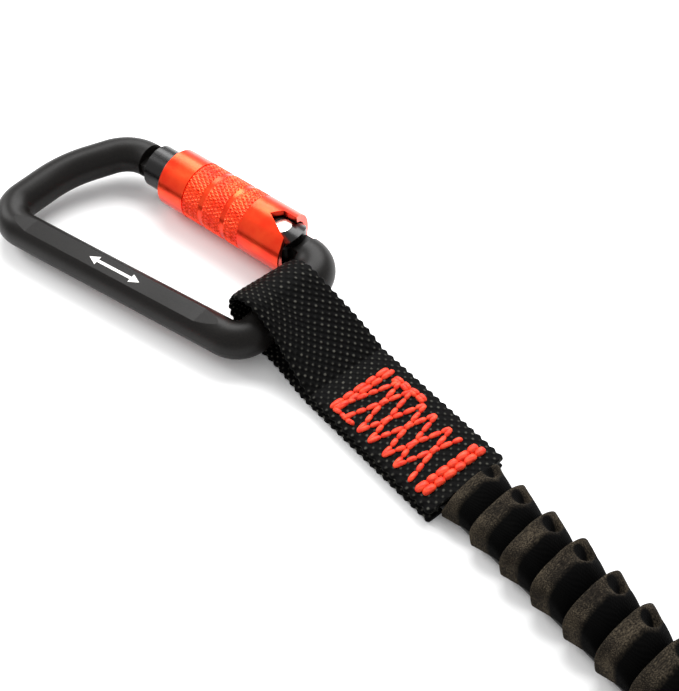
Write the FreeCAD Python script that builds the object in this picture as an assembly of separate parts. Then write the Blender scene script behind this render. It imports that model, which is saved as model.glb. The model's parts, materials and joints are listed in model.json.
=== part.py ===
import FreeCAD, Part
import math
import os

# Shock absorbing lanyard: an elastic strap in a gathered cover, with a sewn webbing loop
# and a twist-lock carabiner at each end. Millimetres, +Z up, lying on a floor at z = 0.
# The strap lies in a U, so the far end is the near end moved over by one vector.
#
# Each carabiner is drawn in its own frame: X along the gate from nose to hinge, the hinge
# rivet along Z at the origin, and the spine on the -Y side. The model's origin is on the
# floor below the middle of the near carabiner and its webbing loop.

Vec = FreeCAD.Vector

# --- carabiner: driving dimensions ---
NEAR_HINGE = (-5.65, 20.0) # the near hinge rivet's place in the model
GATE_AXIS_HEIGHT = 9.1     # the sleeve rests on the floor
LEAN = 3.0                 # degrees: the spine is thinner than the sleeve, so it sits lower
BAR_R = 5.3                # round forged bar
FLAT_Z = 4.6               # half thickness across the flats forged on the spine
NOSE_X = -53.3             # end of the bar at the nose
BAR_X = 15.6               # the short bar that carries the webbing
BASKET_X = -73.2
SPINE_NOSE_Y = -44.0
SPINE_HINGE_Y = -36.2

GATE_R = 6.6
GATE_FRONT_X = -49.7
WAIST_R = 5.5              # the gate is thinner under the sleeve's spring
SLEEVE_R = 9.0
SLEEVE_BORE_R = 6.7
SKIRT_BORE_R = 7.0
SLEEVE_FRONT_X = -42.2
SLEEVE_BACK_X = 5.3
SLEEVE_SLANT = 4.0         # the sleeve's hinge end is this much shorter on the +Y side
SLEEVE_TURN = 90.0         # degrees
KNURL_FRONT_X = -32.2      # the knurled middle of the sleeve, at the root of the knurling
KNURL_BACK_X = -10.4
KNURL_ROOT_R = 8.7

TAB_HALF = 3.2             # half thickness and half width of the hinge tab's neck
TAB_EYE_R = 5.0
TAB_FLAT_X = -4.2          # cam flat that the plunger bears on
PIN_R = 2.0
RIVET_HEAD_R = 2.55
SHOULDER_X = 9.3
SHOULDER_R = 6.1
ELBOW_Y = -7.8             # the shoulder's turn ends and the bar begins
TAPER = 2.0

# --- webbing loop and strap: driving dimensions ---
WEB_WIDTH = 25.4
WEB_THICK = 1.9
STRAP_ANGLE = -11.4        # degrees, strap direction from the gate's axis
LOOP_Y = -22.2             # middle of the webbing on the bar
LOOP_INNER_R = 7.2
LOOP_SLACK = 1.2           # the fold's centre lies this far behind the bar
LEGS_MEET = 26.0           # distance from the bar where the two legs close on the core
BAR_ROOM = 0.35            # the webbing stays this far off the bar
SHOULDER_ROOM = 0.15
LOOP_END = 72.5            # distance from the bar where the legs end
CORE_THICK = 1.6
CORE_WIDTH = 21.0
CORE_TAIL = 30.0           # distance from the bar where the core's sewn tail starts
COVER_WIDTH = 26.0
COVER_HEIGHT = 12.4
COVER_WALL = 1.6
COVER_LIFT = 0.1
STITCH_WIDTH = 19.0
STITCH_START = 31.6
STITCH_CLOSE = 64.7
THREAD = 0.45

# The strap's route over the floor, from the near loop's end to the far loop's end. The
# first and last runs are in line with the loops.
ROUTE = (
    (81.02, -16.53),
    (147.68, -29.97),
    (215.35, -49.8),
    (269.35, -84.1),
    (296.55, -140.9),
    (283.05, -202.5),
    (233.75, -243.3),
    (164.75, -254.9),
    (93.05, -248.2),
    (51.88, -239.9),
)


# --- small helpers ---
def box(x0, x1, y0, y1, z0, z1):
    return Part.makeBox(x1 - x0, y1 - y0, z1 - z0, Vec(x0, y0, z0))


def rod(radius, start, end):
    """A solid cylinder between two points."""
    axis = Vec(*end) - Vec(*start)
    return Part.makeCylinder(radius, axis.Length, Vec(*start), axis)


def turned(profile):
    """A solid turned about the X axis from (x, radius) corners."""
    corners = [Vec(x, 0, r) for x, r in profile]
    face = Part.Face(Part.makePolygon(corners + corners[:1]))
    return face.revolve(Vec(0, 0, 0), Vec(1, 0, 0), 360)


def prism(outline, z0, z1):
    """An upright solid from (x, y) corners."""
    corners = [Vec(x, y, z0) for x, y in outline]
    face = Part.Face(Part.makePolygon(corners + corners[:1]))
    return face.extrude(Vec(0, 0, z1 - z0))


def side_prism(outline, y0, y1):
    """A solid across Y from (x, z) corners."""
    corners = [Vec(x, y0, z) for x, z in outline]
    face = Part.Face(Part.makePolygon(corners + corners[:1]))
    return face.extrude(Vec(0, y1 - y0, 0))


def rounded_path(points, radii):
    """A wire of straight runs joined by tangent arcs, one radius per inner point."""
    edges = []
    last = Vec(*points[0])
    for before, corner, after, radius in zip(points, points[1:], points[2:], radii):
        corner = Vec(*corner)
        back = (Vec(*before) - corner).normalize()
        ahead = (Vec(*after) - corner).normalize()
        half = back.getAngle(ahead) / 2
        reach = radius / math.tan(half)
        middle = corner + (back + ahead).normalize() * (radius / math.sin(half) - radius)
        start, end = corner + back * reach, corner + ahead * reach
        edges.append(Part.LineSegment(last, start).toShape())
        edges.append(Part.Arc(start, middle, end).toShape())
        last = end
    edges.append(Part.LineSegment(last, Vec(*points[-1])).toShape())
    return Part.Wire(edges)


def swept(path, profile):
    return Part.makeSolid(path.makePipeShell([profile], True, False))


def coil_spring(mean_r, wire_r, pitch, length, start_x):
    """A closed helical wire along X."""
    helix = Part.makeLongHelix(pitch, length, mean_r)
    profile = Part.Wire(Part.makeCircle(wire_r, Vec(mean_r, 0, 0), Vec(0, 1, 0)))
    spring = Part.Wire(helix.Edges).makePipeShell([profile], True, True)
    spring = Part.makeSolid(spring)
    spring.rotate(Vec(0, 0, 0), Vec(0, 1, 0), 90)
    spring.translate(Vec(start_x, 0, 0))
    return spring


# --- carabiner pieces, each in the carabiner's own frame ---
def bar(radius):
    """The round bar from the nose, round the basket and spine, to the shoulder."""
    corners = [
        (NOSE_X, 0, 0),
        (-61, 0, 0),
        (-71.2, -18.5, 0),
        (BASKET_X, SPINE_NOSE_Y, 0),
        (BAR_X, SPINE_HINGE_Y, 0),
        (BAR_X, ELBOW_Y - TAPER, 0),
    ]
    section = Part.Wire(Part.makeCircle(radius, Vec(*corners[0]), Vec(1, 0, 0)))
    return swept(rounded_path(corners, (12, 35, 8, 6.5)), section)


def shoulder(extra=0.0):
    """The swollen elbow between the hinge and the short bar."""
    radius = SHOULDER_R + extra
    face_centre = Vec(SHOULDER_X, ELBOW_Y + BAR_X - SHOULDER_X, 0)
    start = Part.Face(Part.Wire(Part.makeCircle(radius, face_centre, Vec(1, 0, 0))))
    elbow = start.revolve(Vec(SHOULDER_X, ELBOW_Y, 0), Vec(0, 0, 1), -90)
    taper = Part.makeCone(radius, BAR_R + extra, TAPER, Vec(BAR_X, ELBOW_Y, 0), Vec(0, -1, 0))
    return elbow.fuse(taper)


def spine_flats():
    """Wedge-ended slabs that take the round bar down to its flats along the spine."""
    profile = ((-66, 6), (-66, 5.4), (-59, FLAT_Z), (2, FLAT_Z), (9, 5.4), (9, 6))
    upper = side_prism(profile, -52, -28)
    lower = upper.mirror(Vec(0, 0, 0), Vec(0, 0, 1))
    return [upper, lower]


def nose():
    """The keyed nose: a thin web with a wider head that sits in the gate's slot."""
    web = box(NOSE_X - 3, NOSE_X + 6.0, -4.2, 4.6, -2.0, 2.0)
    head = box(NOSE_X + 5.8, NOSE_X + 8.6, -4.2, 4.6, -3.6, 3.6)
    round_edge = rod(6.3, (NOSE_X - 5, 0, 0), (NOSE_X + 15, 0, 0))
    return web.fuse(head).common(round_edge)


def hinge_tab():
    eye = rod(TAB_EYE_R, (0, 0, -TAB_HALF), (0, 0, TAB_HALF))
    neck = box(0, SHOULDER_X + 2, -TAB_HALF, TAB_HALF, -TAB_HALF, TAB_HALF)
    tab = eye.fuse(neck)
    tab = tab.cut(box(-10, TAB_FLAT_X, -6, 6, -6, 6))
    return tab.cut(rod(PIN_R + 0.02, (0, 0, -9), (0, 0, 9)))


def carabiner_body():
    forging = bar(BAR_R).cut(spine_flats())
    return forging.fuse([nose(), shoulder(), hinge_tab()]).removeSplitter()


def hinge_rivet():
    shank = rod(PIN_R, (0, 0, -6), (0, 0, 6))
    heads = [rod(RIVET_HEAD_R, (0, 0, s * 5.2), (0, 0, s * 6.02)) for s in (1, -1)]
    return shank.fuse(heads)


def gate_tube():
    tube = rod(GATE_R, (GATE_FRONT_X, 0, 0), (GATE_R, 0, 0))
    waist = rod(GATE_R + 1, (-31, 0, 0), (-13, 0, 0)).cut(rod(WAIST_R, (-32, 0, 0), (-12, 0, 0)))
    round_end = box(-60, 0, -9, 9, -9, 9).fuse(rod(GATE_R, (0, 0, -9), (0, 0, 9)))
    tab_slot = box(-5.6, 9, -9, 9, -TAB_HALF - 0.1, TAB_HALF + 0.1)
    spring_bore = rod(3.1, (-24, 0, 0), (-5, 0, 0))
    web_slot = box(NOSE_X + 2, NOSE_X + 5.6, -4.5, 9, -2.2, 2.2)
    head_slot = box(NOSE_X + 5.55, NOSE_X + 9.1, -4.5, 9, -3.8, 3.8)
    nose_slot = web_slot.fuse(head_slot)
    pin_bore = rod(PIN_R + 0.06, (0, 0, -9), (0, 0, 9))
    seats = [rod(RIVET_HEAD_R + 0.07, (0, 0, s * 5.15), (0, 0, s * 9)) for s in (1, -1)]
    guide_bore = rod(1.0, (-37, 0, -9), (-37, 0, -4))
    tube = tube.common(round_end)
    return tube.cut([waist, tab_slot, spring_bore, nose_slot, pin_bore, guide_bore] + seats)


def guide_pin():
    """Dowel in the gate that runs in the sleeve's groove and stops it at each end."""
    return rod(1.0, (-37, 0, -4.0), (-37, 0, -7.8))


def gate_plunger():
    tip_x = TAB_FLAT_X - 0.15
    stem = rod(1.6, (-18, 0, 0), (tip_x, 0, 0))
    head = rod(2.9, (tip_x - 3, 0, 0), (tip_x - 1.3, 0, 0))
    return stem.fuse(head)


def gate_spring():
    """Drawn at the length it has with the gate fully open, so the plunger's head clears it."""
    return coil_spring(2.35, 0.35, 2.0, 15.0, -23.6)


def sleeve_spring():
    return coil_spring(6.3, 0.3, 2.4, 16.6, -30.4)


def lock_sleeve():
    profile = [
        (SLEEVE_FRONT_X, SLEEVE_BORE_R),
        (SLEEVE_FRONT_X, SLEEVE_R - 0.5),
        (SLEEVE_FRONT_X + 0.5, SLEEVE_R),
        (KNURL_FRONT_X, SLEEVE_R),
        (KNURL_FRONT_X, KNURL_ROOT_R),
        (KNURL_BACK_X, KNURL_ROOT_R),
        (KNURL_BACK_X, SLEEVE_R),
        (SLEEVE_BACK_X - 0.4, SLEEVE_R),
        (SLEEVE_BACK_X, SLEEVE_R - 0.4),
        (SLEEVE_BACK_X, SKIRT_BORE_R),
        (-8, SKIRT_BORE_R),
        (-8, SLEEVE_BORE_R),
    ]
    sleeve = turned(profile)
    rivet_notch = prism(((-4.2, -0.4), (-2.0, 2.9), (6, 3.4), (6, -5.0), (3.6, -4.3)), 2, 12)
    r, back = SLEEVE_R + 1, SLEEVE_BACK_X
    slant = prism(((back, -SLEEVE_R), (back - SLEEVE_SLANT, SLEEVE_R), (back + 5, r), (back + 5, -r)), -r, r)
    return sleeve.cut([rivet_notch, slant, guide_groove()])


def guide_groove():
    """Ring sector inside the sleeve that the guide pin runs in."""
    corners = [Vec(-38.1, 0, 6), Vec(-35.9, 0, 6), Vec(-35.9, 0, 8.1), Vec(-38.1, 0, 8.1)]
    face = Part.Face(Part.makePolygon(corners + corners[:1]))
    margin = 11.0
    face.rotate(Vec(0, 0, 0), Vec(1, 0, 0), 180 + margin)
    return face.revolve(Vec(0, 0, 0), Vec(1, 0, 0), -(SLEEVE_TURN + 2 * margin))


def load_mark():
    """A plain double-ended arrow on the spine: load along the long axis."""
    half, stem, tip = 9.0, 0.45, 1.5
    arrow = [
        (-half, 0), (-half + 3, -tip), (-half + 3, -stem), (half - 3, -stem), (half - 3, -tip),
        (half, 0), (half - 3, tip), (half - 3, stem), (-half + 3, stem), (-half + 3, tip),
    ]
    mark = prism(arrow, FLAT_Z, FLAT_Z + 0.1)
    slope = math.degrees(math.atan2(SPINE_HINGE_Y - SPINE_NOSE_Y, BAR_X - BASKET_X))
    mark.rotate(Vec(0, 0, 0), Vec(0, 0, 1), slope)
    mark.translate(Vec(-28, SPINE_HINGE_Y - (BAR_X + 28) * math.tan(math.radians(slope)), 0))
    return mark


CARABINER = {
    "carabiner_body": carabiner_body,
    "hinge_rivet": hinge_rivet,
    "load_mark": load_mark,
    "gate_tube": gate_tube,
    "gate_plunger": gate_plunger,
    "gate_spring": gate_spring,
    "guide_pin": guide_pin,
    "lock_sleeve": lock_sleeve,
    "sleeve_spring": sleeve_spring,
}


def leaned(shape):
    """From the carabiner's own frame to the near end's place on the floor."""
    shape.rotate(Vec(0, 0, 0), Vec(1, 0, 0), LEAN)
    shape.translate(Vec(*NEAR_HINGE, GATE_AXIS_HEIGHT))
    return shape


# --- webbing loop and stitching: X along the strap from the bar, Z up from the floor ---
def band_outline(lower, upper, inner_r, outer_r):
    """Closed outline of the folded webbing: lower leg, fold and upper leg."""
    centre = (-LOOP_SLACK, LOOP_INNER_R + WEB_THICK)
    meet_low, meet_high = upper

    def leaves(radius, height):
        """Where a line from the legs' meeting point touches the fold's circle on top."""
        dx, dz = LEGS_MEET - centre[0], height - centre[1]
        distance = math.hypot(dx, dz)
        angle = math.atan2(dz, dx) + math.acos(radius / distance)
        return Vec(centre[0] + radius * math.cos(angle), 0, centre[1] + radius * math.sin(angle))

    def at(x, z):
        return Vec(x, 0, z)

    outer_top, inner_top = leaves(outer_r, meet_high), leaves(inner_r, meet_low)
    line, arc = Part.LineSegment, Part.Arc
    shapes = [
        line(at(LOOP_END, lower[0]), at(centre[0], lower[0])),
        arc(at(centre[0], lower[0]), at(centre[0] - outer_r, centre[1]), outer_top),
        line(outer_top, at(LEGS_MEET, meet_high)),
        line(at(LEGS_MEET, meet_high), at(LOOP_END, meet_high)),
        line(at(LOOP_END, meet_high), at(LOOP_END, meet_low)),
        line(at(LOOP_END, meet_low), at(LEGS_MEET, meet_low)),
        line(at(LEGS_MEET, meet_low), inner_top),
        arc(inner_top, at(centre[0] - inner_r, centre[1]), at(centre[0], lower[1])),
        line(at(centre[0], lower[1]), at(LOOP_END, lower[1])),
        line(at(LOOP_END, lower[1]), at(LOOP_END, lower[0])),
    ]
    return Part.Wire([s.toShape() for s in shapes])


def loop_webbing():
    lower = (0, WEB_THICK)
    upper = (WEB_THICK + CORE_THICK, 2 * WEB_THICK + CORE_THICK)
    outline = band_outline(lower, upper, LOOP_INNER_R, LOOP_INNER_R + WEB_THICK)
    band = Part.Face(outline).extrude(Vec(0, WEB_WIDTH, 0))
    band.translate(Vec(0, -WEB_WIDTH / 2, 0))
    return band


def stitch_level():
    return 2 * WEB_THICK + CORE_THICK


def bar_tack(centre_x):
    half = STITCH_WIDTH / 2
    return box(centre_x - 1.6, centre_x + 1.6, -half, half, stitch_level(), stitch_level() + THREAD)


def start_bartack():
    return bar_tack(STITCH_START)


def closing_bartack():
    return bar_tack(STITCH_CLOSE)


def zigzag_row(offset):
    """One zigzag thread along the strap, as a flat band."""
    start, end, teeth, swing, half = STITCH_START + 2.4, STITCH_CLOSE - 2.4, 6, 1.9, 0.4
    step = (end - start) / teeth
    crest = [(start + i * step, offset + (swing if i % 2 else -swing)) for i in range(teeth + 1)]
    outline = [(x, y - half) for x, y in crest] + [(x, y + half) for x, y in reversed(crest)]
    return prism(outline, stitch_level(), stitch_level() + THREAD)


def zigzag_thread():
    return Part.Compound([zigzag_row(offset) for offset in (-7.0, -2.3, 2.3, 7.0)])


LOOP = {
    "loop_webbing": loop_webbing,
    "start_bartack": start_bartack,
    "closing_bartack": closing_bartack,
    "zigzag_thread": zigzag_thread,
}


def along_strap(shape):
    """From the strap's own frame to the near end's place on the floor."""
    shape.rotate(Vec(0, 0, 0), Vec(0, 0, 1), STRAP_ANGLE)
    shape.translate(Vec(NEAR_HINGE[0] + BAR_X, NEAR_HINGE[1] + LOOP_Y, 0))
    return shape


# --- the strap: a gathered tubular cover over an elastic core ---
def arc_radii(points):
    """The largest tangent arc that each corner's two runs allow."""
    radii = []
    for before, corner, after in zip(points, points[1:], points[2:]):
        run_in, run_out = Vec(*corner) - Vec(*before), Vec(*after) - Vec(*corner)
        turn = run_in.getAngle(run_out)
        radii.append(0.45 * min(run_in.Length, run_out.Length) / math.tan(turn / 2))
    return radii


def strap_path(height, tail):
    """The route at a height, carried on straight into both loops by the tail's length."""
    points = [(x, y, height) for x, y in ROUTE]
    along = Vec(math.cos(math.radians(STRAP_ANGLE)), math.sin(math.radians(STRAP_ANGLE)), 0)
    points[0] = tuple(Vec(*points[0]) - along * tail)
    points[-1] = tuple(Vec(*points[-1]) - along * tail)
    radii = arc_radii([(x, y, height) for x, y in ROUTE])
    return rounded_path(points, radii), radii


def strap_solid(width, thick, bottom, tail=0.0):
    """A flat band swept along the route, standing on a height."""
    middle = bottom + thick / 2
    path, radii = strap_path(middle, tail)
    corners = [(0, -width / 2, -thick / 2), (0, width / 2, -thick / 2)]
    corners += [(0, width / 2, thick / 2), (0, -width / 2, thick / 2)]
    profile = Part.makePolygon([Vec(*c) for c in corners + corners[:1]])
    profile.rotate(Vec(0, 0, 0), Vec(0, 0, 1), STRAP_ANGLE)
    profile.translate(path.Edges[0].Vertexes[0].Point)
    return swept(path, profile), path, radii


def shirred_cover():
    outside, path, radii = strap_solid(COVER_WIDTH, COVER_HEIGHT, COVER_LIFT)
    hollow_width = COVER_WIDTH - 2 * COVER_WALL
    hollow_height = COVER_HEIGHT - 2 * COVER_WALL
    inside, _, _ = strap_solid(hollow_width, hollow_height, COVER_LIFT + COVER_WALL)
    cover = outside.cut(inside)
    section = COVER_WIDTH * COVER_HEIGHT - hollow_width * hollow_height
    print("cover: radii", [round(r) for r in radii], "length", round(path.Length, 1))
    print("cover: volume", round(cover.Volume), "section x length", round(section * path.Length))
    return cover


def elastic_core():
    core, path, _ = strap_solid(CORE_WIDTH, CORE_THICK, WEB_THICK, LOOP_END - CORE_TAIL)
    print("core: volume", round(core.Volume), "section x length",
          round(CORE_WIDTH * CORE_THICK * path.Length))
    return core


# --- build ---
def far_offset():
    """From each near piece to its far twin: the two loops' ends are one route apart."""
    return Vec(*ROUTE[-1]) - Vec(*ROUTE[0])


def near_pieces():
    pieces = {name: leaned(make()) for name, make in CARABINER.items()}
    pieces.update({name: along_strap(make()) for name, make in LOOP.items()})
    for taken in (bar(BAR_R + BAR_ROOM), shoulder(SHOULDER_ROOM)):
        pieces["loop_webbing"] = pieces["loop_webbing"].cut(leaned(taken))
    return pieces


def all_pieces():
    pieces = {}
    for name, shape in near_pieces().items():
        pieces["near_" + name] = shape
        pieces["far_" + name] = shape.translated(far_offset())
    pieces["shirred_cover"] = shirred_cover()
    pieces["elastic_core"] = elastic_core()
    return pieces


def save(pieces):
    os.makedirs("parts", exist_ok=True)
    for name, shape in pieces.items():
        shape.exportStep(f"parts/{name}.step")


save(all_pieces())
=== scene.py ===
import json
import math

import bmesh
import bpy
from mathutils import Matrix, Vector, noise
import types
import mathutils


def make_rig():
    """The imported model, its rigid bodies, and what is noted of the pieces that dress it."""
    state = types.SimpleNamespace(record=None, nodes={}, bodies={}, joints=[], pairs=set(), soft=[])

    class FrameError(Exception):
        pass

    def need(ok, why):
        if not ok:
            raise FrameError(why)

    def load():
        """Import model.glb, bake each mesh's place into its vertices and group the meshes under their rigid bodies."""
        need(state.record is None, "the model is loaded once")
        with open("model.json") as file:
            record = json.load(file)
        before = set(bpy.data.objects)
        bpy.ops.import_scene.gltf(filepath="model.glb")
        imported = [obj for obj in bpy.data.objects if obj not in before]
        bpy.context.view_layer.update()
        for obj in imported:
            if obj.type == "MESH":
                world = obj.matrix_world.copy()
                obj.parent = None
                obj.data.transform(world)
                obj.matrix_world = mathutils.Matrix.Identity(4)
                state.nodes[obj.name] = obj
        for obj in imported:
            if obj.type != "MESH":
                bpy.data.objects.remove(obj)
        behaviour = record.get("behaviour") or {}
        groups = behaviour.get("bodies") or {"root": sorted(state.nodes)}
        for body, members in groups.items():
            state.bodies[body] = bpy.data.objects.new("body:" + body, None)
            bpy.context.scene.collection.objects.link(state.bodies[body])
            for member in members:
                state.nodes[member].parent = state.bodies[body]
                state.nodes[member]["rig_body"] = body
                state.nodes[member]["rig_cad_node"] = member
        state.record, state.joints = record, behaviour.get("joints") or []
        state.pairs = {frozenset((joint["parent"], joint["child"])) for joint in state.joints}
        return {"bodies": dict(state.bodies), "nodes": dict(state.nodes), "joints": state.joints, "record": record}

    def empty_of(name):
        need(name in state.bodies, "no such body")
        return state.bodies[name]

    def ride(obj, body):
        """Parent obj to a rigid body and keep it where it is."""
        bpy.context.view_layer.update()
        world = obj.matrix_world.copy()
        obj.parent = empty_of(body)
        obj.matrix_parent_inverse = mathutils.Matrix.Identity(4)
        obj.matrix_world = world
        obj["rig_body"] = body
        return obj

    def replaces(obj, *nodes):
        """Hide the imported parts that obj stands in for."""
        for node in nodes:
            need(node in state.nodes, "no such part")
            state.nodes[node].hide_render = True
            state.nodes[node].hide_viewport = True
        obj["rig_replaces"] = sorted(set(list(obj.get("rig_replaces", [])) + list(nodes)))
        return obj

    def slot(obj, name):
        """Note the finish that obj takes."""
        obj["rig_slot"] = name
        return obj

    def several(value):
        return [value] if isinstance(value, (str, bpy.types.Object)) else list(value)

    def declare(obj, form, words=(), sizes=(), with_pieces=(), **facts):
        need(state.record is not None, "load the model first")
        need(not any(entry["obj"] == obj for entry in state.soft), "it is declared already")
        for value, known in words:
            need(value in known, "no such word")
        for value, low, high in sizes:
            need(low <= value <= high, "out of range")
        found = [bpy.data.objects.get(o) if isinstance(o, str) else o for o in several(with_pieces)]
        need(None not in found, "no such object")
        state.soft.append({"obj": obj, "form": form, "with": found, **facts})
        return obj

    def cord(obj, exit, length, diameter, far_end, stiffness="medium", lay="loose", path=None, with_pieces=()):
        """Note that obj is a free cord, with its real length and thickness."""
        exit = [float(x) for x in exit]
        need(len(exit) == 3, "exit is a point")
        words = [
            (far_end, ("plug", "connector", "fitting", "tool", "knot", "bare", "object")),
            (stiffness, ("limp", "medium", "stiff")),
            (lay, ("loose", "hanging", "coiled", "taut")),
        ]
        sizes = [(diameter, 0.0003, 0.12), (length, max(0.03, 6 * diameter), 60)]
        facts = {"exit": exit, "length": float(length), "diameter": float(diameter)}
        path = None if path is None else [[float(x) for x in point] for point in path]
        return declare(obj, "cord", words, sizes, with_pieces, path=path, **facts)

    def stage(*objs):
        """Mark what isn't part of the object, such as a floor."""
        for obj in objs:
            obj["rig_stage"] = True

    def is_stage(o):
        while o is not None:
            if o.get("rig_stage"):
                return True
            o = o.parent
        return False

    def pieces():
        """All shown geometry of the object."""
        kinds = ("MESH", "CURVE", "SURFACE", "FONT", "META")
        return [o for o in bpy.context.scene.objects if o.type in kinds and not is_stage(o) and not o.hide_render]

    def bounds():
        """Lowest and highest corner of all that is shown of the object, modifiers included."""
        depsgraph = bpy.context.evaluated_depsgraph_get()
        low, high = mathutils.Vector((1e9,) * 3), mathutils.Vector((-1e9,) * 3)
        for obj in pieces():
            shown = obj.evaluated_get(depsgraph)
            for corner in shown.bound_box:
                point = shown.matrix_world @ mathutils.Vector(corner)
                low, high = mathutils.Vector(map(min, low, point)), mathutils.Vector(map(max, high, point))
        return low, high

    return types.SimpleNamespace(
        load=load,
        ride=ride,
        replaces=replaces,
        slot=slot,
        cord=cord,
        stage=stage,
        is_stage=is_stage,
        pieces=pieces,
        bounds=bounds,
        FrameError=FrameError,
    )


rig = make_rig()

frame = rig.load()
cad_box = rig.bounds()

# Shock absorbing lanyard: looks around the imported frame. Metres, +Z up, floor at z = 0.
# The strap leaves the near carabiner's webbing loop, lies in a U and ends in an identical
# loop and carabiner, which is the near end moved over by FAR_OFFSET.
MM = 0.001
ENDS = ("near", "far")

# --- the strap's route: the same points as the CAD tube, but the first two and last two lie a
# little to the side, because the webbing is pulled off the middle of its bar ---
CORD_HEIGHT = 6.3 * MM
ROUTE = (
    (81.75, -12.8),
    (148.85, -26.6),
    (215.35, -49.8),
    (269.35, -84.1),
    (296.55, -140.9),
    (283.05, -202.5),
    (233.75, -243.3),
    (164.75, -254.9),
    (93.75, -244.6),
    (52.61, -236.17),
)
STRAP_TURN = math.radians(-11.4)
LOOP_END = 72.5 * MM       # from the bar's middle to the end of the sewn legs
COVER_LENGTH = 568.7 * MM


def hinge_place(joint_name):
    return Vector(next(j["pos_m"] for j in frame["joints"] if j["name"] == joint_name))


GATE_HINGE = hinge_place("near_gate_swing")
FAR_OFFSET = hinge_place("far_gate_swing") - GATE_HINGE
ALONG = Vector((math.cos(STRAP_TURN), math.sin(STRAP_TURN), 0))
ACROSS = Vector((-ALONG.y, ALONG.x, 0))
UP = Vector((0, 0, 1))
BAR_MIDDLE = Vector((9.95 * MM, -2.2 * MM, 0))   # under the middle of the webbing on its bar


# --- small helpers ---
def new_piece(name, mesh, materials, smooth=True):
    piece = bpy.data.objects.new(name, mesh)
    bpy.context.scene.collection.objects.link(piece)
    for material in materials:
        mesh.materials.append(material)
    if smooth:
        mesh.shade_smooth()
    return piece


def wrapped_grid(name, rows, columns, place, closed=False, uv_size=(1.0, 1.0)):
    """A grid bent round to a shape: place(a, b) gives the point for a along and b around, 0 to 1.
    b's two edges meet and are joined. Where closed, so do a's, and otherwise the ends are filled."""
    bm = bmesh.new()
    bmesh.ops.create_grid(bm, x_segments=rows, y_segments=columns, size=0.5, calc_uvs=True)
    uv_layer = bm.loops.layers.uv.verify()
    for face in bm.faces:
        for loop in face.loops:
            a, b = loop.vert.co.x + 0.5, loop.vert.co.y + 0.5
            loop[uv_layer].uv = (a * uv_size[0], b * uv_size[1])
    for vert in bm.verts:
        vert.co = place(vert.co.x + 0.5, vert.co.y + 0.5)
    bmesh.ops.remove_doubles(bm, verts=bm.verts, dist=0.002 * MM)
    if not closed:
        bmesh.ops.holes_fill(bm, edges=bm.edges, sides=0)
    bmesh.ops.recalc_face_normals(bm, faces=bm.faces)
    mesh = bpy.data.meshes.new(name)
    bm.to_mesh(mesh)
    bm.free()
    return mesh


def smooth_step(x, low, high):
    t = min(max((x - low) / (high - low), 0.0), 1.0)
    return t * t * (3 - 2 * t)


def linear(hex_colour):
    """sRGB hex to a linear colour with alpha."""
    def channel(text):
        c = int(text, 16) / 255
        return c / 12.92 if c <= 0.04045 else ((c + 0.055) / 1.055) ** 2.4
    return tuple(channel(hex_colour[i:i + 2]) for i in (1, 3, 5)) + (1.0,)


def add(tree, kind, settings=(), inputs=()):
    """Adds a node. settings are its attributes, and inputs are values or sockets to link."""
    node = tree.nodes.new(kind)
    for name, value in dict(settings).items():
        setattr(node, name, value)
    for name, value in dict(inputs).items():
        if isinstance(value, bpy.types.NodeSocket):
            tree.links.new(value, node.inputs[name])
        else:
            node.inputs[name].default_value = value
    return node


def finish_material(name, **inputs):
    """A material with a Principled shader, its tree and that shader."""
    material = bpy.data.materials.new(name)
    material.use_nodes = True
    tree = material.node_tree
    shader = next(n for n in tree.nodes if n.type == "BSDF_PRINCIPLED")
    for key, value in inputs.items():
        shader.inputs[key.replace("_", " ")].default_value = value
    return material, tree, shader


def bump(tree, shader, height, strength, distance):
    node = add(tree, "ShaderNodeBump",
               inputs={"Height": height, "Strength": strength, "Distance": distance})
    tree.links.new(node.outputs["Normal"], shader.inputs["Normal"])


def colours(tree, factor, stops):
    """A colour ramp from (position, hex) stops."""
    ramp = add(tree, "ShaderNodeValToRGB", inputs={"Fac": factor})
    elements = ramp.color_ramp.elements
    elements[0].position, elements[0].color = stops[0][0], linear(stops[0][1])
    elements[1].position, elements[1].color = stops[-1][0], linear(stops[-1][1])
    for position, shade in stops[1:-1]:
        elements.new(position).color = linear(shade)
    return ramp.outputs["Color"]


# --- materials ---
BAND_SCALE = 0.314         # a wave texture's scale for bands one metre apart


def black_anodised_forging():
    """Forged aluminium, tumbled then black anodised: satin, with a fine grain that scatters light."""
    material, tree, shader = finish_material(
        "black_anodised_forging", Roughness=0.4, IOR=1.55, Specular_IOR_Level=0.16)
    place = add(tree, "ShaderNodeTexCoord").outputs["Object"]
    # 0.35 mm grain
    grain = add(tree, "ShaderNodeTexNoise",
                inputs={"Vector": place, "Scale": 1 / (0.35 * MM), "Detail": 3.0})
    # handling marks some 12 mm long
    haze = add(tree, "ShaderNodeTexNoise",
               inputs={"Vector": place, "Scale": 1 / (12 * MM), "Detail": 4.0})
    tone = colours(tree, grain.outputs["Fac"], ((0.3, "#060505"), (0.75, "#15120f")))
    tree.links.new(tone, shader.inputs["Base Color"])
    rough = add(tree, "ShaderNodeMapRange",
                inputs={"Value": haze.outputs["Fac"], "To Min": 0.3, "To Max": 0.48})
    tree.links.new(rough.outputs["Result"], shader.inputs["Roughness"])
    bump(tree, shader, grain.outputs["Fac"], 0.25, 0.05 * MM)
    return material


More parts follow.
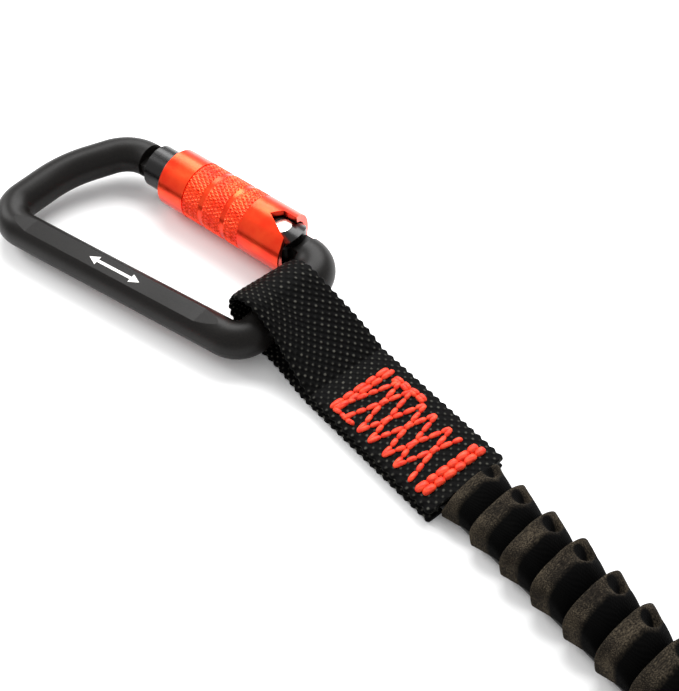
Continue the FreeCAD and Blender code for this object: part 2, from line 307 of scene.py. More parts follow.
def black_anodised_turning():
    """Turned aluminium, black anodised: rings from the lathe, glossier than the forging. They are
    drawn 0.4 mm apart, coarser than real ones, so that they show."""
    material, tree, shader = finish_material(
        "black_anodised_turning", Base_Color=linear("#060505"), Roughness=0.25, IOR=1.55,
        Specular_IOR_Level=0.3)
    place = add(tree, "ShaderNodeTexCoord").outputs["Object"]
    rings = add(tree, "ShaderNodeTexWave", {"wave_type": "BANDS", "bands_direction": "X"},
                {"Vector": place, "Scale": BAND_SCALE / (0.4 * MM), "Distortion": 0.4, "Detail": 1.0})
    bump(tree, shader, rings.outputs["Fac"], 0.2, 0.03 * MM)
    return material


def red_anodised_aluminium():
    """Bright-dipped aluminium dyed orange-red: a metal colour under a clear film, with lathe lines."""
    material, tree, shader = finish_material(
        "red_anodised_aluminium", Metallic=1.0, Roughness=0.3, Coat_Weight=0.25, Coat_Roughness=0.2)
    place = add(tree, "ShaderNodeTexCoord").outputs["Object"]
    rings = add(tree, "ShaderNodeTexWave", {"wave_type": "BANDS", "bands_direction": "X"},
                {"Vector": place, "Scale": BAND_SCALE / (0.3 * MM), "Distortion": 0.6, "Detail": 2.0})
    dye = add(tree, "ShaderNodeTexNoise", inputs={"Vector": place, "Scale": 1 / (6 * MM), "Detail": 3.0})
    tone = colours(tree, dye.outputs["Fac"], ((0.3, "#f02a0c"), (0.7, "#ff4a1e")))
    tree.links.new(tone, shader.inputs["Base Color"])
    bump(tree, shader, rings.outputs["Fac"], 0.15, 0.03 * MM)
    return material


def formed_steel():
    """Nickel-plated steel rivet head, struck to shape: bright with a slight orange peel."""
    material, tree, shader = finish_material(
        "formed_steel", Base_Color=linear("#e6e2d8"), Metallic=1.0, Roughness=0.32)
    place = add(tree, "ShaderNodeTexCoord").outputs["Object"]
    dimples = add(tree, "ShaderNodeTexNoise",
                  inputs={"Vector": place, "Scale": 1 / (0.9 * MM), "Detail": 2.0})
    bump(tree, shader, dimples.outputs["Fac"], 0.3, 0.06 * MM)
    return material


def spring_wire():
    """Drawn spring steel with a faint drawing grain."""
    material, tree, shader = finish_material(
        "spring_wire", Base_Color=linear("#9a9a96"), Metallic=1.0, Roughness=0.3)
    place = add(tree, "ShaderNodeTexCoord").outputs["Object"]
    grain = add(tree, "ShaderNodeTexNoise", inputs={"Vector": place, "Scale": 1 / (0.2 * MM)})
    bump(tree, shader, grain.outputs["Fac"], 0.2, 0.02 * MM)
    return material


def printed_white():
    """White pad print: thin, slightly rough, with tiny misses that let the black through."""
    material, tree, shader = finish_material("printed_white", Roughness=0.55)
    place = add(tree, "ShaderNodeTexCoord").outputs["Object"]
    misses = add(tree, "ShaderNodeTexNoise",
                 inputs={"Vector": place, "Scale": 1 / (0.3 * MM), "Detail": 4.0})
    tone = colours(tree, misses.outputs["Fac"], ((0.25, "#8a8884"), (0.4, "#eeece8")))
    tree.links.new(tone, shader.inputs["Base Color"])
    return material


def uv_cells(tree, width_mm, length_mm):
    """Sines of the UV, which is in millimetres: +1 on one yarn and -1 on the next, along the
    piece and across it."""
    uv = add(tree, "ShaderNodeUVMap").outputs["UV"]
    parts = add(tree, "ShaderNodeSeparateXYZ", inputs={"Vector": uv})
    waves = []
    for axis, cell in (("X", length_mm), ("Y", width_mm)):
        turn = add(tree, "ShaderNodeMath", {"operation": "MULTIPLY"},
                   {0: parts.outputs[axis], 1: math.pi / cell})
        wave = add(tree, "ShaderNodeMath", {"operation": "SINE"}, {0: turn.outputs[0]})
        waves.append(wave.outputs[0])
    return waves


def woven_webbing():
    """Polyester webbing in a coarse plain weave: black yarn floats, with a dull glint painted on their tops."""
    material, tree, shader = finish_material(
        "woven_webbing", Roughness=0.65, IOR=1.5, Specular_IOR_Level=0.05)
    waves = uv_cells(tree, WEAVE_ACROSS / MM, WEAVE_ALONG / MM)
    product = add(tree, "ShaderNodeMath", {"operation": "MULTIPLY"}, {0: waves[0], 1: waves[1]})
    uv = add(tree, "ShaderNodeUVMap").outputs["UV"]
    uneven = add(tree, "ShaderNodeTexNoise", inputs={"Vector": uv, "Scale": 0.55, "Detail": 3.0})
    fibre = add(tree, "ShaderNodeTexNoise", inputs={"Vector": uv, "Scale": 5.0, "Detail": 2.0})
    painted_glint = add(tree, "ShaderNodeMath", {"operation": "MULTIPLY"},
               {0: product.outputs[0], 1: uneven.outputs["Fac"]})
    # painted glint: the raised yarns are drawn lighter, unevenly, where light would catch them
    tone = colours(tree, painted_glint.outputs[0], ((0.05, "#020202"), (0.3, "#0e0e0d"), (0.62, "#4b4a44")))
    tree.links.new(tone, shader.inputs["Base Color"])
    height = add(tree, "ShaderNodeMath", {"operation": "MULTIPLY_ADD"},
                 {0: fibre.outputs["Fac"], 1: 0.5, 2: product.outputs[0]})
    bump(tree, shader, height.outputs[0], 0.6, 0.12 * MM)
    return material


def stitching_thread():
    """Heavy bonded polyester thread, orange-red: two plies whose twist shows as slanting lines."""
    material, tree, shader = finish_material(
        "stitching_thread", Roughness=0.5, Specular_IOR_Level=0.3)
    place = add(tree, "ShaderNodeTexCoord").outputs["Object"]
    turned = add(tree, "ShaderNodeMapping", inputs={"Vector": place, "Rotation": (0, 0, 0.5)})
    plies = add(tree, "ShaderNodeTexWave", {"wave_type": "BANDS", "bands_direction": "X"},
                {"Vector": turned.outputs[0], "Scale": BAND_SCALE / (0.7 * MM), "Distortion": 1.5,
                 "Detail": 1.0})
    dye = add(tree, "ShaderNodeTexNoise",
              inputs={"Vector": place, "Scale": 1 / (1.5 * MM), "Detail": 2.0})
    tone = colours(tree, dye.outputs["Fac"], ((0.3, "#cf1e0c"), (0.65, "#ee4a28")))
    tree.links.new(tone, shader.inputs["Base Color"])
    bump(tree, shader, plies.outputs["Fac"], 0.4, 0.08 * MM)
    return material


UV_PER_FOLD = 16.0         # length of one fold in the cover's UV
UV_AROUND = 60.0           # the way round the cover in its UV
# painted shade along a fold: how much of its colour the cloth keeps, from its front edge to the next fold's
FOLD_SHADE = (
    (0.0, "#303030"), (0.06, "#ffffff"), (0.7, "#ffffff"), (0.78, "#181818"), (1.0, "#101010"))
EYE_PHASE = 0.54           # where the open end of a fold, its eye, lies along the fold, 0 to 1
EYE_TURN = 0.158           # and round the cover, 0 to 1
EYE_SIZE = (0.17, 0.042)   # the shaded eye's reach each way, in the same terms


def gathered_cloth():
    """Thin woven polyester cover: brown-black with a fine speckle where single yarns catch light, and painted shade on
    the folds' sloping backs and in their eyes.
    """
    material, tree, shader = finish_material(
        "gathered_cloth", Roughness=0.85, IOR=1.45, Specular_IOR_Level=0.08)
    waves = uv_cells(tree, 0.45, 0.45)
    product = add(tree, "ShaderNodeMath", {"operation": "MULTIPLY"}, {0: waves[0], 1: waves[1]})
    uv = add(tree, "ShaderNodeUVMap").outputs["UV"]
    speckle = add(tree, "ShaderNodeTexNoise",
                  inputs={"Vector": uv, "Scale": 1.9, "Detail": 4.0, "Roughness": 0.8})
    patch = add(tree, "ShaderNodeTexNoise", inputs={"Vector": uv, "Scale": 0.16, "Detail": 2.0})
    mixed = add(tree, "ShaderNodeMath", {"operation": "MULTIPLY_ADD"},
                {0: patch.outputs["Fac"], 1: 0.35, 2: speckle.outputs["Fac"]})
    tone = colours(tree, mixed.outputs[0], ((0.45, "#050403"), (0.66, "#1c1813"), (0.9, "#554c3e")))
    # the sloping backs of the folds lie in shade and are drawn darker than the cloth alone
    along = add(tree, "ShaderNodeSeparateXYZ", inputs={"Vector": uv}).outputs["X"]
    folds = add(tree, "ShaderNodeMath", {"operation": "DIVIDE"}, {0: along, 1: UV_PER_FOLD})
    around = add(tree, "ShaderNodeSeparateXYZ", inputs={"Vector": uv}).outputs["Y"]
    turn = add(tree, "ShaderNodeMath", {"operation": "DIVIDE"}, {0: around, 1: UV_AROUND})
    # near the eye, where the crest runs on, the painted shade on a fold's back begins later
    rim = colours(tree, turn.outputs[0], ((0.07, "#000000"), (0.15, "#5f5f5f"), (0.23, "#000000")))
    later = add(tree, "ShaderNodeMath", {"operation": "SUBTRACT"}, {0: folds.outputs[0], 1: rim})
    phase = add(tree, "ShaderNodeMath", {"operation": "FRACT"}, {0: later.outputs[0]})
    band = colours(tree, phase.outputs[0], FOLD_SHADE)
    # painted shade also darkens the inside of each fold's open end
    plain_phase = add(tree, "ShaderNodeMath", {"operation": "FRACT"}, {0: folds.outputs[0]})
    spot = add(tree, "ShaderNodeCombineXYZ", inputs={"X": plain_phase.outputs[0], "Y": turn.outputs[0]})
    scaled = add(tree, "ShaderNodeMapping", {"vector_type": "TEXTURE"},
                 {"Vector": spot.outputs[0], "Location": (EYE_PHASE, EYE_TURN, 0),
                  "Scale": (*EYE_SIZE, 1)})
    reach = add(tree, "ShaderNodeVectorMath", {"operation": "LENGTH"}, {0: scaled.outputs[0]})
    eye_shade = colours(tree, reach.outputs["Value"], ((0.7, "#141414"), (1.0, "#ffffff")))
    shaded = add(tree, "ShaderNodeMix", {"data_type": "RGBA", "blend_type": "MULTIPLY"},
                 {"Factor": 1.0, "A": band, "B": eye_shade}).outputs["Result"]
    shade = add(tree, "ShaderNodeMix", {"data_type": "RGBA", "blend_type": "MULTIPLY"},
                {"Factor": 1.0, "A": tone, "B": shaded})
    tree.links.new(shade.outputs["Result"], shader.inputs["Base Color"])
    height = add(tree, "ShaderNodeMath", {"operation": "MULTIPLY_ADD"},
                 {0: speckle.outputs["Fac"], 1: 1.2, 2: product.outputs[0]})
    bump(tree, shader, height.outputs[0], 0.35, 0.1 * MM)
    return material


def braided_elastic():
    """Rubber threads braided into a flat band, with ribs along it 1.2 mm apart."""
    material, tree, shader = finish_material("braided_elastic", Roughness=0.7, Sheen_Weight=0.1)
    waves = uv_cells(tree, 0.6, 0.8)
    tone = colours(tree, waves[1], ((0.2, "#111111"), (0.9, "#2a2a29")))
    tree.links.new(tone, shader.inputs["Base Color"])
    bump(tree, shader, waves[1], 0.5, 0.15 * MM)
    return material


# --- the webbing loop: X along the strap from the bar, folded round the bar ---
WEAVE_ALONG = 1.3 * MM     # one yarn's float along the strap
WEAVE_ACROSS = 1.2 * MM    # and across it
WEB_HALF = 12.6 * MM
WEB_HALF_THICK = 0.8 * MM
RELIEF = 0.22 * MM         # how far a yarn stands proud
CROSS_YARN = 0.45          # a cross yarn's height against a long yarn's
EDGE_THINNING = 0.25       # the webbing's edges are thinner than its middle by this part
EDGE_BULGE = 0.7           # and stand out by this part of half its thickness
EDGE_YARNS = 1.2           # how far the yarns stand out of an edge, against RELIEF
FACE_COLUMNS = 63          # of the mesh, over one face
EDGE_COLUMNS = 4           # and over one edge
FOLD_R = 8.15 * MM         # the fold round the bar: its radius
FOLD_X = -1.2 * MM         # and its middle, from the bar's
LEGS_MEET = 26 * MM        # where the upper leg comes down on the lower one
LOWER_LEG_Z = 0.95 * MM
UPPER_LEG_Z = 4.45 * MM
SIDE_PULL = 3.6 * MM       # the sewn part lies this far off the middle of the bar
BUNCHED = 0.66             # of its width on the spine's side, the webbing keeps this on the bar


def side_pull(x):
    return SIDE_PULL * smooth_step(x, -6 * MM, 26 * MM)


def spine_side(x):
    """How much of its width the webbing keeps on the spine's side: it bunches up on its bar."""
    return BUNCHED + (1 - BUNCHED) * smooth_step(x, 2 * MM, 26 * MM)


def fold_line():
    """Points of the webbing's middle from the lower leg's end, round the bar, to the upper
    leg's end."""
    centre = Vector((FOLD_X, 0, LOWER_LEG_Z + FOLD_R))
    reach = Vector((LEGS_MEET, 0, UPPER_LEG_Z)) - centre
    leave = math.atan2(reach.z, reach.x) + math.acos(FOLD_R / reach.length)
    corners = [Vector((LOOP_END, 0, LOWER_LEG_Z)), Vector((FOLD_X, 0, LOWER_LEG_Z))]
    arc_steps = 24
    for i in range(1, arc_steps + 1):
        angle = -math.pi / 2 - (2 * math.pi - math.pi / 2 - leave) * i / arc_steps
        corners.append(centre + FOLD_R * Vector((math.cos(angle), 0, math.sin(angle))))
    corners += [Vector((LEGS_MEET, 0, UPPER_LEG_Z)), Vector((LOOP_END, 0, UPPER_LEG_Z))]
    return corners


class Line:
    """A polyline that gives a point and a direction at a length along it."""

    def __init__(self, points):
        self.points = [Vector(p) for p in points]
        self.at = [0.0]
        for a, b in zip(self.points, self.points[1:]):
            self.at.append(self.at[-1] + (b - a).length)
        self.length = self.at[-1]

    def point(self, s):
        if s <= 0 or s >= self.length:
            i = 0 if s <= 0 else len(self.points) - 2
        else:
            i = self.segment(s)
        a, b = self.points[i], self.points[i + 1]
        return a + (b - a) * ((s - self.at[i]) / (self.at[i + 1] - self.at[i]))

    def segment(self, s):
        low, high = 0, len(self.at) - 1
        while high - low > 1:
            middle = (low + high) // 2
            if self.at[middle] <= s:
                low = middle
            else:
                high = middle
        return low

    def direction(self, s, span=1.5 * MM):
        return (self.point(s + span) - self.point(s - span)).normalized()


def yarn_height(s, across):
    """Plain weave: a long yarn on top in one cell, and a lower cross yarn in the next."""
    product = math.sin(math.pi * s / WEAVE_ALONG) * math.sin(math.pi * across / WEAVE_ACROSS)
    return math.sqrt(abs(product)) * (1.0 if product > 0 else CROSS_YARN)


def webbing_mesh():
    """The folded webbing as a closed ribbon whose yarns stand out on both faces."""
    line = Line(fold_line())
    rows = round(line.length / (WEAVE_ALONG / 4))
    columns = 2 * (FACE_COLUMNS + EDGE_COLUMNS)

    def section(b):
        """(across, height) round the ribbon's section, both from -1 to 1."""
        k = b * columns
        if k <= FACE_COLUMNS:
            return -1 + 2 * k / FACE_COLUMNS, 1.0
        k -= FACE_COLUMNS
        if k <= EDGE_COLUMNS:
            return 1.0, math.cos(math.pi * k / EDGE_COLUMNS)
        k -= EDGE_COLUMNS
        if k <= FACE_COLUMNS:
            return 1 - 2 * k / FACE_COLUMNS, -1.0
        return -1.0, -math.cos(math.pi * (k - FACE_COLUMNS) / EDGE_COLUMNS)

    def place(a, b):
        s = a * line.length
        side, level = section(b)
        forward = line.direction(s)
        normal = Vector((forward.z, 0, -forward.x))
        middle = line.point(s)
        across = side * (WEB_HALF - RELIEF)
        yarn = yarn_height(s, across)
        rim = abs(side) ** 12
        height = level * (WEB_HALF_THICK + RELIEF * yarn * (1 - rim)) * (1 - EDGE_THINNING * rim)
        edge = side * rim * (1 - level * level) * EDGE_BULGE * WEB_HALF_THICK
        edge += side * rim * RELIEF * EDGE_YARNS * math.sin(math.pi * s / WEAVE_ALONG)
        point = middle + normal * height
        if across < 0:
            across *= spine_side(point.x)
        return (BAR_MIDDLE + ALONG * point.x + UP * point.z
                + ACROSS * (across + edge + side_pull(point.x)))

    size = (line.length / MM, 2 * (2 * WEB_HALF) / MM)
    return wrapped_grid("webbing", rows, columns, place, uv_size=size)


# --- stitching: floats of thread that dip into the webbing at both ends ---
STITCH_Z = UPPER_LEG_Z + WEB_HALF_THICK
THREAD_R = 0.76 * MM
FLOAT_LENGTH = 3.3 * MM
NEEDLE_GAP = 0.04          # the part of a float's length left bare at each end
WANDER = 0.22 * MM         # how far a float's ends stray to either side
LEFT, RIGHT = -6.9 * MM, 12.3 * MM     # the stitched width, from the middle of the bar
TACK_START, TACK_END = 33.4 * MM, 66.8 * MM
SWING = 9.8 * MM                       # one zigzag's repeat along the strap
ZIGZAG_LEFTS = (43.0 * MM, 47.2 * MM)  # where each zigzag touches the left side


def stitch_point(x, y, z):
    return BAR_MIDDLE + ALONG * x + ACROSS * y + UP * z


def add_float(bm, start, end, radius):
    """One float: a thin ball drawn out between two (x, y) points, sunk by half."""
    before = set(bm.verts)
    bmesh.ops.create_uvsphere(bm, u_segments=8, v_segments=8, radius=1.0)
    ball = [v for v in bm.verts if v not in before]
    a, b = stitch_point(*start, STITCH_Z), stitch_point(*end, STITCH_Z)
    run = b - a
    half = run.length / 2
    sideways = UP.cross(run).normalized()
    for vert in ball:
        along, side, up = vert.co.z, vert.co.x, vert.co.y
        blunt = math.copysign(abs(along) ** 0.65, along)
        arch = 0.35 * radius * (1 - along * along)
        vert.co = (a + run / 2 + run.normalized() * (blunt * (half + 0.25 * radius))
                   + sideways * (side * radius) + UP * (up * radius * 0.8 + arch))


def add_seam(bm, corners, radius, float_length):
    """Floats along a run of (x, y) corners, with a small gap at each needle hole."""
    for start, end in zip(corners, corners[1:]):
        a, b = Vector(start), Vector(end)
        count = max(1, round((b - a).length / float_length))
        step = (b - a) / count
        for i in range(count):
            wander = Vector((0, WANDER * (1 if i % 2 else -1)))
            add_float(bm, a + step * (i + NEEDLE_GAP) + wander,
                      a + step * (i + 1 - NEEDLE_GAP) - wander, radius)


def seam_mesh(name, seams):
    bm = bmesh.new()
    for corners, radius, float_length in seams:
        add_seam(bm, corners, radius, float_length)
    bmesh.ops.recalc_face_normals(bm, faces=bm.faces)
    mesh = bpy.data.meshes.new(name)
    bm.to_mesh(mesh)
    bm.free()
    return mesh


def zigzag(first_left):
    """Corners of one zigzag, from the start tack to the closing tack."""
    corners = []
    x, side = first_left - SWING, LEFT
    while x < TACK_END:
        if x > TACK_START - 1.2 * MM:
            corners.append((x, side))
        x += SWING / 2
        side = RIGHT if side == LEFT else LEFT
    return corners


def zigzag_mesh():
    """Two zigzags, a short run down the left side and a doubled one down the right."""
    seams = [(zigzag(first_left), THREAD_R, FLOAT_LENGTH) for first_left in ZIGZAG_LEFTS]
    seams.append((((TACK_START, LEFT), (40.6 * MM, LEFT + 0.4 * MM)), THREAD_R, FLOAT_LENGTH * 0.8))
    for shift in (0.0, 0.9 * MM):
        seams.append((((36.0 * MM, RIGHT + shift - 1.2 * MM), (47.0 * MM, RIGHT + shift)),
                      THREAD_R * 1.1, FLOAT_LENGTH * 0.8))
    return seam_mesh("zigzag", seams)


def tack_mesh(name, x, reach, radius):
    """A bartack across the strap: two rows of floats side by side."""
    seams = []
    for row, offset in ((0, -0.8 * radius), (1, 0.8 * radius)):
        slide = 0.8 * MM * row
        seams.append((((x + offset, LEFT + slide - 0.4 * MM), (x + offset, RIGHT + reach + slide)),
                      radius, FLOAT_LENGTH * 1.15))
    return seam_mesh(name, seams)


# --- knurling on the locking sleeve: three bands of small pyramids about the gate's axis ---
KNURL_BANDS = ((-32.2, -25.8), (-24.4, -17.3), (-16.0, -10.4))   # millimetres from the hinge
KNURL_ROOT_R = 8.72 * MM
KNURL_DEPTH = 0.27 * MM
KNURL_ROW = 0.26           # millimetres from one ring of the mesh to the next
KNURL_STARTS = 44          # ridges round the sleeve each way
KNURL_PITCH = 2.1 * MM     # from one ridge to the next along the axis


def knurl_mesh():
    bm = bmesh.new()
    around = KNURL_STARTS * 6
    for low, high in KNURL_BANDS:
        rows = round((high - low) / KNURL_ROW)
        outer = rows - 3

        def place(a, b, low=low, high=high, rows=rows, outer=outer):
            k = round(a * rows)
            x = low + (high - low) * min(max((k - 1) / (outer - 1), 0.0), 1.0)
            x = GATE_HINGE.x + x * MM
            ridge = b * KNURL_STARTS
            slope = x / KNURL_PITCH
            peaks = [1 - 2 * abs((ridge + way * slope) % 1.0 - 0.5) for way in (1, -1)]
            height = KNURL_DEPTH * min(min(peaks) * 1.5, 1.0)
            radius = KNURL_ROOT_R + (height if 1 < k < outer else 0.0)
            if k == 0 or k > outer:
                radius = KNURL_ROOT_R - 0.15 * MM
                x = GATE_HINGE.x + (low if k == 0 or k == rows else high) * MM
            angle = 2 * math.pi * b
            return Vector((x, GATE_HINGE.y + radius * math.cos(angle),
                           GATE_HINGE.z + radius * math.sin(angle)))

        band = wrapped_grid("knurl_band", rows, around, place, closed=True)
        bm.from_mesh(band)
        bpy.data.meshes.remove(band)
    mesh = bpy.data.meshes.new("knurling")
    bm.to_mesh(mesh)
    bm.free()
    return mesh


# --- the gathered cover and the elastic band inside it ---
PLEAT = 10.4 * MM          # from one gathered ridge to the next
COVER_HALF = 10.6 * MM     # half width at a ridge
VALLEY_IN = 2.8 * MM       # how far the sides pull in between ridges
CREST_TOP = 12.2 * MM      # height of a ridge above the floor
VALLEY_TOP = 5.6 * MM      # and of the valley behind it
LEAN = 0.33                # a ridge leans back towards the near end by this much of its height
SLANT = 0.09               # and its left side lies nearer that end by this much of the width
START_IN = 1.2 * MM        # the cover's end is tucked between the webbing's legs by this much
END_LOW, END_HIGH = 2.2 * MM, 3.6 * MM   # its lowest and highest there, flat between the legs
OPENED_BY = 4.5 * MM       # from its end, the cover has opened to a tube after this much
FULL_BY = 34 * MM          # and its folds have their whole height after this much
END_FULLNESS = 0.55        # of which they have this part at the end
ROUND_FRONT = 0.3          # the part of a fold over which its front rolls up to the crest
SIDE_OUT = 0.16            # and over which its sides step out
FALL_START = 0.58          # where along a fold its fall begins
FALL_AT_EYE = 0.12         # later by this much beside the eye
EYE_ACROSS = 5.8 * MM      # the eye: its place from the cover's middle
EYE_DEPTH = 4.0 * MM
EYE_WIDE, EYE_LONG = 2.2 * MM, 1.6 * MM
EYE_SHOULDER = 3.2 * MM    # the crest beside the eye runs on over this width
PHASE_JITTER = 0.04        # how much the folds' spacing differs, as a part of one
SIZE_JITTER = 0.12         # and their height
CREASE = 3 * MM            # small creases over the whole cover: their size
CREASE_DEPTH = 0.3 * MM
FLOOR_GAP = 0.15 * MM
SOLE = 0.25 * MM           # underside of the cover below a ridge
SOLE_RISE = 1.2 * MM       # and this much higher in a valley
END_WIDTH = 0.94           # the cover's width at its ends, against the middle's
BOXY = 0.6                 # power that squares the section, all but its upper left quarter
ROWS_PER_FOLD = 26


def route_curve():
    curve = bpy.data.curves.new("strap_route", "CURVE")
    curve.dimensions = "3D"
    spline = curve.splines.new("NURBS")
    spline.points.add(len(ROUTE) - 1)
    for point, (x, y) in zip(spline.points, ROUTE):
        point.co = (x * MM, y * MM, CORD_HEIGHT, 1)
    spline.order_u = 3
    spline.use_endpoint_u = True
    spline.resolution_u = 24
    return curve


def route_points():
    """Points read from the route's spline."""
    curve = route_curve()
    carrier = bpy.data.objects.new("strap_route", curve)
    bpy.context.scene.collection.objects.link(carrier)
    mesh = bpy.data.meshes.new_from_object(carrier)
    points = [v.co.copy() for v in mesh.vertices]
    bpy.data.objects.remove(carrier)
    bpy.data.meshes.remove(mesh)
    return points


def ridge_height(phase, fall_start):
    """0 in the valley to 1 on the crest: a round front, a flat crest and a long fall."""
    rise = math.sqrt(1 - max(1 - phase / ROUND_FRONT, 0.0) ** 2)
    fall = 1 - smooth_step(phase, fall_start, 1.0)
    return min(rise, fall)


def side_reach(phase):
    """1 near the fold's front edge, falling evenly to 0 where the next fold steps out."""
    return min(smooth_step(phase, 0.0, SIDE_OUT), 1 - max(phase - SIDE_OUT, 0.0) / (1 - SIDE_OUT))


def cover_mesh(line):
    """The gathered tube: folds that lean back, each with its open eye at one end."""
    span = line.length + 2 * START_IN
    pleats = round((line.length - 2 * START_IN) / PLEAT)
    pitch = line.length / pleats
    rows, columns = pleats * ROWS_PER_FOLD, 60

    def place(a, b):
        s = -START_IN + a * span
        run = s / pitch
        index = math.floor(run)
        phase = (run - index + PHASE_JITTER * noise.noise(Vector((index * 3.7 + 0.5, 1.3, 5.1)))) % 1.0
        size = 1 + SIZE_JITTER * noise.noise(Vector((index * 7.31, 2.7, 0.4)))
        from_end = min(s, line.length - s)
        opened = smooth_step(from_end, -START_IN, OPENED_BY)
        full = END_FULLNESS + (1 - END_FULLNESS) * smooth_step(from_end, 0, FULL_BY)
        angle = 2 * math.pi * b
        c, d = math.cos(angle), math.sin(angle)
        power = 1.0 if c > 0 and d > 0 else BOXY
        c, d = math.copysign(abs(c) ** power, c), math.copysign(abs(d) ** power, d)
        half = COVER_HALF - VALLEY_IN * (1 - side_reach(phase))
        half *= END_WIDTH + (1 - END_WIDTH) * full
        across = half * c
        round_eye = math.exp(-((across - EYE_ACROSS) / EYE_SHOULDER) ** 2)
        ridge = ridge_height(phase, FALL_START + FALL_AT_EYE * round_eye)
        top = min(VALLEY_TOP + (CREST_TOP - VALLEY_TOP) * ridge * size * full, CREST_TOP)
        bottom = SOLE + SOLE_RISE * (1 - ridge)
        top = END_HIGH + (top - END_HIGH) * opened
        bottom = END_LOW + (bottom - END_LOW) * opened
        height = (top + bottom) / 2 + (top - bottom) / 2 * d
        if d > 0:
            reach = ((across - EYE_ACROSS) / EYE_WIDE) ** 2
            reach += ((phase - EYE_PHASE) * pitch / EYE_LONG) ** 2
            height -= EYE_DEPTH * math.exp(-reach) * opened * full
        back = (LEAN * (height - bottom) * ridge + SLANT * across) * opened
        spot = Vector((s / CREASE, across / CREASE, 7.7 * (1 if d > 0 else -1)))
        height += CREASE_DEPTH * noise.noise(spot) * opened * (1 if d > 0 else 0.3)
        forward = line.direction(s, 4 * MM)
        point = line.point(s) + UP.cross(forward).normalized() * across - forward * back
        return Vector((point.x, point.y, max(height, FLOOR_GAP)))

    uv_length = UV_PER_FOLD * span / pitch
    return wrapped_grid("cover", rows, columns, place, uv_size=(uv_length, UV_AROUND))


CORE_HALF = 8.6 * MM
CORE_HALF_THICK = 0.7 * MM
CORE_Z = 2.7 * MM
CORE_TAIL = 40 * MM        # sewn between the legs of each loop


def core_mesh(line):
    """The elastic band, from between one loop's legs to between the other's."""
    span = line.length + 2 * CORE_TAIL
    rows, columns = 480, 24

    def place(a, b):
        s = -CORE_TAIL + a * span
        angle = 2 * math.pi * b
        c, d = math.cos(angle), math.sin(angle)
        c, d = math.copysign(abs(c) ** 0.4, c), math.copysign(abs(d) ** 0.4, d)
        middle = line.point(s)
        forward = line.direction(s, 4 * MM)
        sideways = UP.cross(forward).normalized()
        point = middle + sideways * (CORE_HALF * c)
        return Vector((point.x, point.y, CORE_Z + CORE_HALF_THICK * d))

    return wrapped_grid("core", rows, columns, place, uv_size=(span / MM, 36.0))


# --- camera, floor and light ---
def set_camera():
    data = bpy.data.cameras.new("camera")
    data.sensor_width = 36.0
    data.lens = 63.6
    camera = bpy.data.objects.new("camera", data)
    bpy.context.scene.collection.objects.link(camera)
    # the camera's axes, and its place from under the gate's hinge
    right = Vector((0.78048, 0.62519, 0.00017))
    up = Vector((-0.48587, 0.60639, 0.62946))
    back = right.cross(up)
    turn = Matrix((right, up, back)).transposed().to_4x4()
    place = Vector((GATE_HINGE.x, GATE_HINGE.y, 0)) + Vector((165.25, -181.05, 262.75)) * MM
    camera.matrix_world = Matrix.Translation(place) @ turn
    bpy.context.scene.camera = camera


def area_light(name, place, target, size, energy):
    data = bpy.data.lights.new(name, "AREA")
    data.shape = "RECTANGLE"
    data.size, data.size_y = size
    data.energy = energy
    light = bpy.data.objects.new(name, data)
    light.location = place
    light.rotation_euler = (Vector(target) - Vector(place)).to_track_quat("-Z", "Y").to_euler()
    bpy.context.scene.collection.objects.link(light)


def set_studio():
    floor_material, _, _ = finish_material("pale_floor", Base_Color=linear("#fbfbfb"), Roughness=0.9)
    bm = bmesh.new()
    bmesh.ops.create_grid(bm, x_segments=1, y_segments=1, size=4.0)
    mesh = bpy.data.meshes.new("floor")
    bm.to_mesh(mesh)
    bm.free()
    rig.stage(new_piece("floor", mesh, [floor_material], smooth=False))
    world = bpy.data.worlds.new("studio")
    world.use_nodes = True
    background = next(n for n in world.node_tree.nodes if n.type == "BACKGROUND")
    background.inputs["Color"].default_value = (1, 1, 1, 1)
    background.inputs["Strength"].default_value = 0.8
    bpy.context.scene.world = world
    area_light("key_softbox", (-0.2, 0.5, 0.62), (0.04, -0.03, 0), (0.8, 0.6), 11)
    area_light("side_softbox", (-0.7, -0.1, 0.45), (0, 0, 0), (0.3, 0.4), 3)
    bpy.context.scene.view_settings.view_transform = "Standard"


# --- putting it together ---
set_camera()
set_studio()

FORGING = black_anodised_forging()
TURNING = black_anodised_turning()
RED = red_anodised_aluminium()
STEEL = formed_steel()
WIRE = spring_wire()
PRINT = printed_white()
WEBBING = woven_webbing()
THREAD = stitching_thread()
CLOTH = gathered_cloth()
ELASTIC = braided_elastic()

NODE_FINISH = {
    "carabiner_body": FORGING,
    "hinge_rivet": STEEL,
    "load_mark": PRINT,
    "gate_tube": TURNING,
    "gate_plunger": STEEL,
    "gate_spring": WIRE,
    "sleeve_spring": WIRE,
    "guide_pin": STEEL,
    "lock_sleeve": RED,
}


def paint_node(node, material):
    mesh = frame["nodes"][node].data
    mesh.materials.clear()
    mesh.materials.append(material)


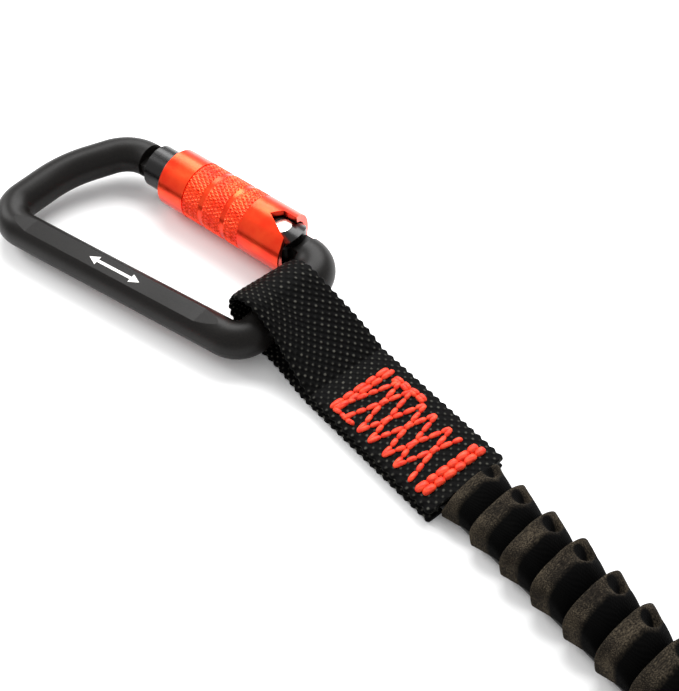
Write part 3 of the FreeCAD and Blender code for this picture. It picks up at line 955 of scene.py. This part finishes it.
def dress_end(end, meshes):
    """Finishes one end's CAD nodes and adds its webbing, stitches and knurling."""
    for name, material in NODE_FINISH.items():
        paint_node(f"{end}_{name}", material)
    offset = FAR_OFFSET if end == "far" else Vector()
    added = []
    for name, (mesh, material, body, node, slot_name, smooth) in meshes.items():
        mesh = mesh.copy()
        mesh.transform(Matrix.Translation(offset))
        piece = new_piece(f"{end}_{name}", mesh, [material], smooth)
        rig.ride(piece, body.format(end))
        if node:
            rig.replaces(piece, f"{end}_{node}")
        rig.slot(piece, slot_name)
        added.append(piece)
    return added


END_MESHES = {
    "webbing_loop": (webbing_mesh(), WEBBING, "strap", "loop_webbing", "black_webbing", True),
    "start_tack": (tack_mesh("start_tack", TACK_START, 0.0, 0.9 * MM), THREAD, "strap",
                   "start_bartack", "red_thread", True),
    "closing_tack": (tack_mesh("closing_tack", TACK_END, 1.3 * MM, 1.15 * MM), THREAD, "strap",
                     "closing_bartack", "red_thread", True),
    "zigzag_seam": (zigzag_mesh(), THREAD, "strap", "zigzag_thread", "red_thread", True),
    "sleeve_knurling": (knurl_mesh(), RED, "{}_sleeve", None, "red_anodised_sleeve", False),
}

STRAP_LINE = Line(route_points())
dress_end("near", END_MESHES)
far_pieces = dress_end("far", END_MESHES)

core = new_piece("elastic_band", core_mesh(STRAP_LINE), [ELASTIC])
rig.ride(core, "strap")
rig.replaces(core, "elastic_core")
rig.slot(core, "elastic_band")

cover = new_piece("gathered_cover", cover_mesh(STRAP_LINE), [CLOTH])
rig.ride(cover, "strap")
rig.replaces(cover, "shirred_cover")
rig.slot(cover, "pleated_cover")
far_nodes = [frame["nodes"][f"far_{name}"] for name in NODE_FINISH]
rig.cord(cover, exit=STRAP_LINE.points[0], length=COVER_LENGTH, diameter=0.022, far_end="connector",
        stiffness="limp", lay="loose", path=STRAP_LINE.points,
        with_pieces=[core] + far_pieces + far_nodes)

json.dump({"cad": [list(corner) for corner in cad_box],
           "visual": [list(corner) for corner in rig.bounds()]},
          open("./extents.json", "w"))
